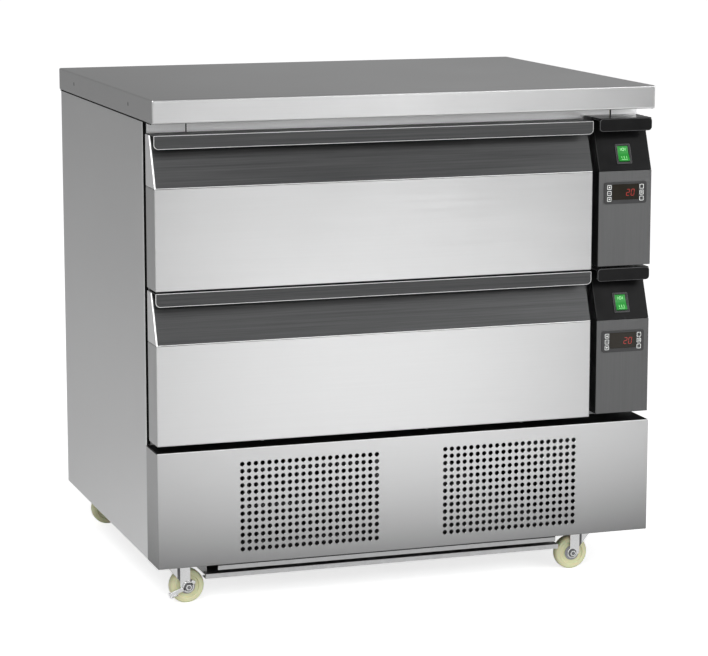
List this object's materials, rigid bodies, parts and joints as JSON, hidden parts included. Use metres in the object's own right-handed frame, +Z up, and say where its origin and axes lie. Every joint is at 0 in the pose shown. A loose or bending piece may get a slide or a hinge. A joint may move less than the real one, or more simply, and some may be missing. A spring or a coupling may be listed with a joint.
{
  "type": "refrigerated counter",
  "caption": "Low stainless counter on casters: a worktop over insulated refrigerated pan drawers, control modules at the right and a cooling unit behind grilles in the base.",
  "frame": {"origin": "on the floor under the middle of the worktop", "axes": "+X to the right of a person facing the drawers, +Y to the back, +Z up"},
  "size_m": [0.9, 0.7, 0.865],
  "materials": {
    "stainless": "brushed stainless sheet",
    "back_steel": "plain galvanised sheet",
    "dark_steel": "dark brushed metal",
    "frame_steel": "satin stainless",
    "zinc_steel": "bright zinc plated steel",
    "chassis_paint": "satin dark grey",
    "compressor_paint": "satin black",
    "coil_aluminium": "plain fins",
    "copper_pipe": null,
    "foam": "rigid foam",
    "core_plastic": "smooth liner over rigid foam",
    "black_plastic": "black moulding",
    "controller_plastic": "dark bezel and window",
    "fan_plastic": "moulded",
    "rocker_green": "translucent green",
    "key_plastic": "pale grey",
    "gasket_rubber": "soft black",
    "wheel_nylon": "cream nylon"
  },
  "bodies": {
    "cabinet": {"worktop": "stainless", "left_side_panel": "stainless", "right_side_panel": "stainless", "back_panel": "back_steel", "cabinet_insulation": "foam", "compartment_liners": "stainless", "front_frame": "stainless", "base_panel": "stainless", "base_chassis": "chassis_paint", "unit_tray": "zinc_steel", "compressors": "compressor_paint", "condenser": "coil_aluminium", "evaporators": "coil_aluminium", "refrigerant_pipes": "copper_pipe", "caster_plates": "zinc_steel", "module_housings": "black_plastic", "module_faces": "dark_steel", "controllers": "controller_plastic", "switch_bezels": "black_plastic", "slide_outer_rails": "zinc_steel", "panel_screws": "zinc_steel"},
    "drawer_lower": {"drawer_skin_lower": "stainless", "drawer_handle_lower": "dark_steel", "drawer_core_lower": "core_plastic", "drawer_gasket_lower": "gasket_rubber", "drawer_frame_lower": "frame_steel"},
    "slides_lower": {"slide_mids_lower": "zinc_steel"},
    "drawer_upper": {"drawer_skin_upper": "stainless", "drawer_handle_upper": "dark_steel", "drawer_core_upper": "core_plastic", "drawer_gasket_upper": "gasket_rubber", "drawer_frame_upper": "frame_steel"},
    "slides_upper": {"slide_mids_upper": "zinc_steel"},
    "rocker_lower": {"rocker_lower": "rocker_green"},
    "rocker_upper": {"rocker_upper": "rocker_green"},
    "key_lower_1": {"key_lower_1": "key_plastic"},
    "key_lower_2": {"key_lower_2": "key_plastic"},
    "key_lower_3": {"key_lower_3": "key_plastic"},
    "key_lower_4": {"key_lower_4": "key_plastic"},
    "key_lower_5": {"key_lower_5": "key_plastic"},
    "key_lower_6": {"key_lower_6": "key_plastic"},
    "key_upper_1": {"key_upper_1": "key_plastic"},
    "key_upper_2": {"key_upper_2": "key_plastic"},
    "key_upper_3": {"key_upper_3": "key_plastic"},
    "key_upper_4": {"key_upper_4": "key_plastic"},
    "key_upper_5": {"key_upper_5": "key_plastic"},
    "key_upper_6": {"key_upper_6": "key_plastic"},
    "evaporator_fan_lower": {"evaporator_fan_lower": "fan_plastic"},
    "evaporator_fan_upper": {"evaporator_fan_upper": "fan_plastic"},
    "condenser_fan": {"condenser_fan": "fan_plastic"},
    "fork_front_left": {"fork_front_left": "zinc_steel"},
    "wheel_front_left": {"wheel_front_left": "wheel_nylon"},
    "brake_pedal_left": {"brake_pedal_left": "zinc_steel"},
    "fork_front_right": {"fork_front_right": "zinc_steel"},
    "wheel_front_right": {"wheel_front_right": "wheel_nylon"},
    "brake_pedal_right": {"brake_pedal_right": "zinc_steel"},
    "fork_rear_left": {"fork_rear_left": "zinc_steel"},
    "wheel_rear_left": {"wheel_rear_left": "wheel_nylon"},
    "fork_rear_right": {"fork_rear_right": "zinc_steel"},
    "wheel_rear_right": {"wheel_rear_right": "wheel_nylon"}
  },
  "joints": [
    {"name": "drawer_lower_slide", "type": "slide", "parent": "cabinet", "child": "drawer_lower", "axis": [0, -1, 0], "range_m": [0, 0.54]},
    {"name": "slides_lower_extend", "type": "slide", "parent": "cabinet", "child": "slides_lower", "axis": [0, -1, 0], "range_m": [0, 0.27]},
    {"name": "drawer_upper_slide", "type": "slide", "parent": "cabinet", "child": "drawer_upper", "axis": [0, -1, 0], "range_m": [0, 0.54]},
    {"name": "slides_upper_extend", "type": "slide", "parent": "cabinet", "child": "slides_upper", "axis": [0, -1, 0], "range_m": [0, 0.27]},
    {"name": "rocker_lower_tilt", "type": "hinge", "parent": "cabinet", "child": "rocker_lower", "pos_m": [0.3965, -0.33137, 0.48209], "axis": [1, 0, 0], "range_deg": [0, 14]},
    {"name": "rocker_upper_tilt", "type": "hinge", "parent": "cabinet", "child": "rocker_upper", "pos_m": [0.3965, -0.33137, 0.74409], "axis": [1, 0, 0], "range_deg": [0, 14]},
    {"name": "key_lower_1_press", "type": "slide", "parent": "cabinet", "child": "key_lower_1", "axis": [0, 1, 0], "range_m": [0, 0.0006], "stiffness_N_per_m": 500},
    {"name": "key_lower_2_press", "type": "slide", "parent": "cabinet", "child": "key_lower_2", "axis": [0, 1, 0], "range_m": [0, 0.0006], "stiffness_N_per_m": 500},
    {"name": "key_lower_3_press", "type": "slide", "parent": "cabinet", "child": "key_lower_3", "axis": [0, 1, 0], "range_m": [0, 0.0006], "stiffness_N_per_m": 500},
    {"name": "key_lower_4_press", "type": "slide", "parent": "cabinet", "child": "key_lower_4", "axis": [0, 1, 0], "range_m": [0, 0.0006], "stiffness_N_per_m": 500},
    {"name": "key_lower_5_press", "type": "slide", "parent": "cabinet", "child": "key_lower_5", "axis": [0, 1, 0], "range_m": [0, 0.0006], "stiffness_N_per_m": 500},
    {"name": "key_lower_6_press", "type": "slide", "parent": "cabinet", "child": "key_lower_6", "axis": [0, 1, 0], "range_m": [0, 0.0006], "stiffness_N_per_m": 500},
    {"name": "key_upper_1_press", "type": "slide", "parent": "cabinet", "child": "key_upper_1", "axis": [0, 1, 0], "range_m": [0, 0.0006], "stiffness_N_per_m": 500},
    {"name": "key_upper_2_press", "type": "slide", "parent": "cabinet", "child": "key_upper_2", "axis": [0, 1, 0], "range_m": [0, 0.0006], "stiffness_N_per_m": 500},
    {"name": "key_upper_3_press", "type": "slide", "parent": "cabinet", "child": "key_upper_3", "axis": [0, 1, 0], "range_m": [0, 0.0006], "stiffness_N_per_m": 500},
    {"name": "key_upper_4_press", "type": "slide", "parent": "cabinet", "child": "key_upper_4", "axis": [0, 1, 0], "range_m": [0, 0.0006], "stiffness_N_per_m": 500},
    {"name": "key_upper_5_press", "type": "slide", "parent": "cabinet", "child": "key_upper_5", "axis": [0, 1, 0], "range_m": [0, 0.0006], "stiffness_N_per_m": 500},
    {"name": "key_upper_6_press", "type": "slide", "parent": "cabinet", "child": "key_upper_6", "axis": [0, 1, 0], "range_m": [0, 0.0006], "stiffness_N_per_m": 500},
    {"name": "evaporator_fan_lower_spin", "type": "hinge", "parent": "cabinet", "child": "evaporator_fan_lower", "pos_m": [0.3115, -0.166, 0.372], "axis": [1, 0, 0], "continuous": true},
    {"name": "evaporator_fan_upper_spin", "type": "hinge", "parent": "cabinet", "child": "evaporator_fan_upper", "pos_m": [0.3115, -0.166, 0.634], "axis": [1, 0, 0], "continuous": true},
    {"name": "condenser_fan_spin", "type": "hinge", "parent": "cabinet", "child": "condenser_fan", "pos_m": [-0.18, -0.209, 0.1545], "axis": [0, 1, 0], "continuous": true},
    {"name": "caster_front_left_swivel", "type": "hinge", "parent": "cabinet", "child": "fork_front_left", "pos_m": [-0.4105, -0.294, 0.0707], "axis": [0, 0, 1], "continuous": true},
    {"name": "wheel_front_left_roll", "type": "hinge", "parent": "fork_front_left", "child": "wheel_front_left", "pos_m": [-0.3855, -0.294, 0.03], "axis": [0, 1, 0], "continuous": true},
    {"name": "brake_pedal_left_press", "type": "hinge", "parent": "fork_front_left", "child": "brake_pedal_left", "pos_m": [-0.3855, -0.294, 0.03], "axis": [0, 1, 0], "range_deg": [0, 24]},
    {"name": "caster_front_right_swivel", "type": "hinge", "parent": "cabinet", "child": "fork_front_right", "pos_m": [0.349, -0.294, 0.0707], "axis": [0, 0, 1], "continuous": true},
    {"name": "wheel_front_right_roll", "type": "hinge", "parent": "fork_front_right", "child": "wheel_front_right", "pos_m": [0.324, -0.294, 0.03], "axis": [0, -1, 0], "continuous": true},
    {"name": "brake_pedal_right_press", "type": "hinge", "parent": "fork_front_right", "child": "brake_pedal_right", "pos_m": [0.324, -0.294, 0.03], "axis": [0, -1, 0], "range_deg": [-12, 12]},
    {"name": "caster_rear_left_swivel", "type": "hinge", "parent": "cabinet", "child": "fork_rear_left", "pos_m": [-0.4105, 0.29, 0.0707], "axis": [0, 0, 1], "continuous": true},
    {"name": "wheel_rear_left_roll", "type": "hinge", "parent": "fork_rear_left", "child": "wheel_rear_left", "pos_m": [-0.3855, 0.29, 0.03], "axis": [0, 1, 0], "continuous": true},
    {"name": "caster_rear_right_swivel", "type": "hinge", "parent": "cabinet", "child": "fork_rear_right", "pos_m": [0.349, 0.29, 0.0707], "axis": [0, 0, 1], "continuous": true},
    {"name": "wheel_rear_right_roll", "type": "hinge", "parent": "fork_rear_right", "child": "wheel_rear_right", "pos_m": [0.324, 0.29, 0.03], "axis": [0, -1, 0], "continuous": true}
  ],
  "couplings": [
    {"joint": "slides_lower_extend", "follows": "drawer_lower_slide", "ratio": 0.5},
    {"joint": "slides_upper_extend", "follows": "drawer_upper_slide", "ratio": 0.5}
  ]
}
